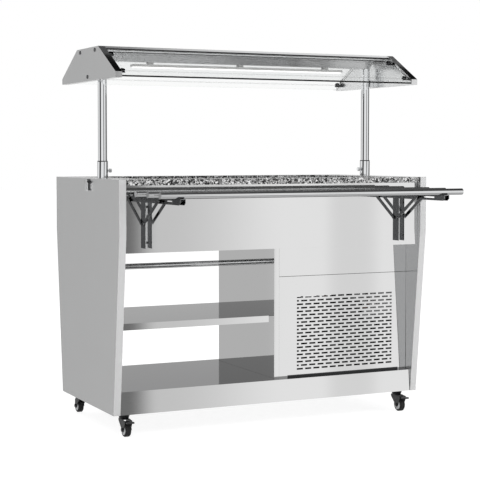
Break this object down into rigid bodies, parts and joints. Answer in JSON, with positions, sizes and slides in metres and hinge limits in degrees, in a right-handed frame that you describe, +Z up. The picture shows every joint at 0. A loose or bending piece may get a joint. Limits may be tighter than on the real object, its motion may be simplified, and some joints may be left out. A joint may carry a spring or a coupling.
{
  "type": "mobile salad bar",
  "caption": "Refrigerated serving trolley with a stone-edged cold well, glass hood on posts, folding tray slides, open shelf bay, vented machine bay and swivel castors.",
  "frame": {"origin": "on the floor under the middle of the whole outline, with the front tray slide raised and the rear one folded down", "axes": "+Z up, the side with the raised tray slide faces -Y, +X points to the machine bay's end"},
  "size_m": [1.2124, 0.985, 1.332],
  "materials": {
    "sheet_steel": "polished",
    "granite": "polished",
    "foam": "matte",
    "copper": "satin",
    "plated_steel": "satin",
    "fin_aluminium": "satin",
    "black_paint": "satin",
    "black_plastic": "satin",
    "tyre_rubber": "matte",
    "chrome_tube": "polished",
    "bracket_steel": "satin",
    "glass": "polished",
    "lamp_body": "satin",
    "lamp_cover": "satin"
  },
  "bodies": {
    "cabinet": {"end_panel_left": "sheet_steel", "end_panel_right": "sheet_steel", "apron_front": "sheet_steel", "apron_rear": "sheet_steel", "granite_top": "granite", "well_tub": "sheet_steel", "well_insulation": "foam", "underfloor": "sheet_steel", "refrigerant_lines": "copper", "base_deck": "sheet_steel", "castor_channels": "plated_steel", "mid_shelf": "sheet_steel", "partition": "sheet_steel", "front_fascia": "sheet_steel", "vent_panel": "sheet_steel", "rear_panel": "sheet_steel", "condenser": "fin_aluminium", "fan_shroud": "plated_steel", "compressor": "black_paint", "control_plate": "black_plastic", "drain_pipe": "copper", "post_sockets": "chrome_tube", "bracket_legs": "bracket_steel", "latch_base": "black_paint"},
    "hood": {"hood_posts": "chrome_tube", "hood_end_left": "sheet_steel", "hood_end_right": "sheet_steel", "hood_cap": "sheet_steel", "hood_glass_front": "glass", "hood_glass_rear": "glass", "glass_clamps": "chrome_tube", "lamp_housing": "sheet_steel", "lamp_bar": "lamp_body", "lamp_diffuser": "lamp_cover"},
    "front_tray": {"front_arms": "bracket_steel", "front_rails": "chrome_tube"},
    "rear_tray": {"rear_arms": "bracket_steel", "rear_rails": "chrome_tube"},
    "front_brace_left": {"front_brace_left": "bracket_steel"},
    "front_brace_right": {"front_brace_right": "bracket_steel"},
    "rear_brace_left": {"rear_brace_left": "bracket_steel"},
    "rear_brace_right": {"rear_brace_right": "bracket_steel"},
    "fan_blade": {"fan_blade": "black_plastic"},
    "power_switch": {"power_switch": "black_plastic"},
    "light_switch": {"light_switch": "black_plastic"},
    "thermostat_knob": {"thermostat_knob": "black_plastic"},
    "drain_lever": {"drain_lever": "black_plastic"},
    "thumb_screw_left": {"thumb_screw_left": "chrome_tube"},
    "thumb_screw_right": {"thumb_screw_right": "chrome_tube"},
    "latch_lever": {"latch_lever": "black_paint"},
    "castor_front_left": {"castor_fork_front_left": "black_paint"},
    "wheel_front_left": {"castor_wheel_front_left": "tyre_rubber"},
    "brake_front_left": {"castor_brake_front_left": "black_plastic"},
    "castor_front_right": {"castor_fork_front_right": "black_paint"},
    "wheel_front_right": {"castor_wheel_front_right": "tyre_rubber"},
    "brake_front_right": {"castor_brake_front_right": "black_plastic"},
    "castor_rear_left": {"castor_fork_rear_left": "black_paint"},
    "wheel_rear_left": {"castor_wheel_rear_left": "tyre_rubber"},
    "castor_rear_right": {"castor_fork_rear_right": "black_paint"},
    "wheel_rear_right": {"castor_wheel_rear_right": "tyre_rubber"}
  },
  "joints": [
    {"name": "front_tray_fold", "type": "hinge", "parent": "cabinet", "child": "front_tray", "pos_m": [0.0062, -0.1955, 0.809], "axis": [1, 0, 0], "range_deg": [0, 90]},
    {"name": "rear_tray_fold", "type": "hinge", "parent": "cabinet", "child": "rear_tray", "pos_m": [0.0062, 0.4605, 0.809], "axis": [1, 0, 0], "range_deg": [0, 90]},
    {"name": "front_brace_left_turn", "type": "hinge", "parent": "cabinet", "child": "front_brace_left", "pos_m": [-0.4888, -0.1955, 0.729], "axis": [1, 0, 0], "range_deg": [0, 122.26]},
    {"name": "front_brace_right_turn", "type": "hinge", "parent": "cabinet", "child": "front_brace_right", "pos_m": [0.5012, -0.1955, 0.729], "axis": [1, 0, 0], "range_deg": [0, 122.26]},
    {"name": "rear_brace_left_turn", "type": "hinge", "parent": "cabinet", "child": "rear_brace_left", "pos_m": [-0.4888, 0.4605, 0.729], "axis": [1, 0, 0], "range_deg": [0, 122.26]},
    {"name": "rear_brace_right_turn", "type": "hinge", "parent": "cabinet", "child": "rear_brace_right", "pos_m": [0.5012, 0.4605, 0.729], "axis": [1, 0, 0], "range_deg": [0, 122.26]},
    {"name": "hood_lift", "type": "slide", "parent": "cabinet", "child": "hood", "axis": [0, 0, 1], "range_m": [0, 0.05]},
    {"name": "thumb_screw_left_turn", "type": "hinge", "parent": "cabinet", "child": "thumb_screw_left", "pos_m": [-0.5088, 0.1325, 0.902], "axis": [1, 0, 0], "range_deg": [0, 1080]},
    {"name": "thumb_screw_right_turn", "type": "hinge", "parent": "cabinet", "child": "thumb_screw_right", "pos_m": [0.5212, 0.1325, 0.902], "axis": [-1, 0, 0], "range_deg": [0, 1080]},
    {"name": "latch_lever_swing", "type": "hinge", "parent": "cabinet", "child": "latch_lever", "pos_m": [-0.6002, 0.1005, 0.864], "axis": [0, 1, 0], "range_deg": [0, 120]},
    {"name": "fan_spin", "type": "hinge", "parent": "cabinet", "child": "fan_blade", "pos_m": [0.3062, 0.0205, 0.3], "axis": [0, 1, 0], "continuous": true},
    {"name": "power_switch_rock", "type": "hinge", "parent": "cabinet", "child": "power_switch", "pos_m": [0.3462, 0.3665, 0.575], "axis": [1, 0, 0], "range_deg": [0, 8]},
    {"name": "light_switch_rock", "type": "hinge", "parent": "cabinet", "child": "light_switch", "pos_m": [0.3882, 0.3665, 0.575], "axis": [1, 0, 0], "range_deg": [0, 8]},
    {"name": "thermostat_turn", "type": "hinge", "parent": "cabinet", "child": "thermostat_knob", "pos_m": [0.2812, 0.3755, 0.575], "axis": [0, -1, 0], "range_deg": [0, 270]},
    {"name": "drain_lever_turn", "type": "hinge", "parent": "cabinet", "child": "drain_lever", "pos_m": [0.1362, 0.1035, 0.585], "axis": [0, 1, 0], "range_deg": [0, 90]},
    {"name": "castor_swivel_front_left", "type": "hinge", "parent": "cabinet", "child": "castor_front_left", "pos_m": [-0.5388, -0.0935, 0.06], "axis": [0, 0, 1], "continuous": true},
    {"name": "wheel_spin_front_left", "type": "hinge", "parent": "castor_front_left", "child": "wheel_front_left", "pos_m": [-0.5388, -0.1145, 0.025], "axis": [1, 0, 0], "continuous": true},
    {"name": "brake_press_front_left", "type": "hinge", "parent": "castor_front_left", "child": "brake_front_left", "pos_m": [-0.5388, -0.1315, 0.0535], "axis": [1, 0, 0], "range_deg": [0, 20]},
    {"name": "castor_swivel_front_right", "type": "hinge", "parent": "cabinet", "child": "castor_front_right", "pos_m": [0.5512, -0.0935, 0.06], "axis": [0, 0, 1], "continuous": true},
    {"name": "wheel_spin_front_right", "type": "hinge", "parent": "castor_front_right", "child": "wheel_front_right", "pos_m": [0.5512, -0.1145, 0.025], "axis": [1, 0, 0], "continuous": true},
    {"name": "brake_press_front_right", "type": "hinge", "parent": "castor_front_right", "child": "brake_front_right", "pos_m": [0.5512, -0.1315, 0.0535], "axis": [1, 0, 0], "range_deg": [0, 20]},
    {"name": "castor_swivel_rear_left", "type": "hinge", "parent": "cabinet", "child": "castor_rear_left", "pos_m": [-0.5388, 0.3585, 0.06], "axis": [0, 0, 1], "continuous": true},
    {"name": "wheel_spin_rear_left", "type": "hinge", "parent": "castor_rear_left", "child": "wheel_rear_left", "pos_m": [-0.5388, 0.3795, 0.025], "axis": [1, 0, 0], "continuous": true},
    {"name": "castor_swivel_rear_right", "type": "hinge", "parent": "cabinet", "child": "castor_rear_right", "pos_m": [0.5512, 0.3585, 0.06], "axis": [0, 0, 1], "continuous": true},
    {"name": "wheel_spin_rear_right", "type": "hinge", "parent": "castor_rear_right", "child": "wheel_rear_right", "pos_m": [0.5512, 0.3795, 0.025], "axis": [1, 0, 0], "continuous": true}
  ],
  "couplings": [
    {"joint": "front_brace_left_turn", "follows": "front_tray_fold", "ratio": 1.3579},
    {"joint": "front_brace_right_turn", "follows": "front_tray_fold", "ratio": 1.3579},
    {"joint": "rear_brace_left_turn", "follows": "rear_tray_fold", "ratio": 1.3579},
    {"joint": "rear_brace_right_turn", "follows": "rear_tray_fold", "ratio": 1.3579}
  ]
}
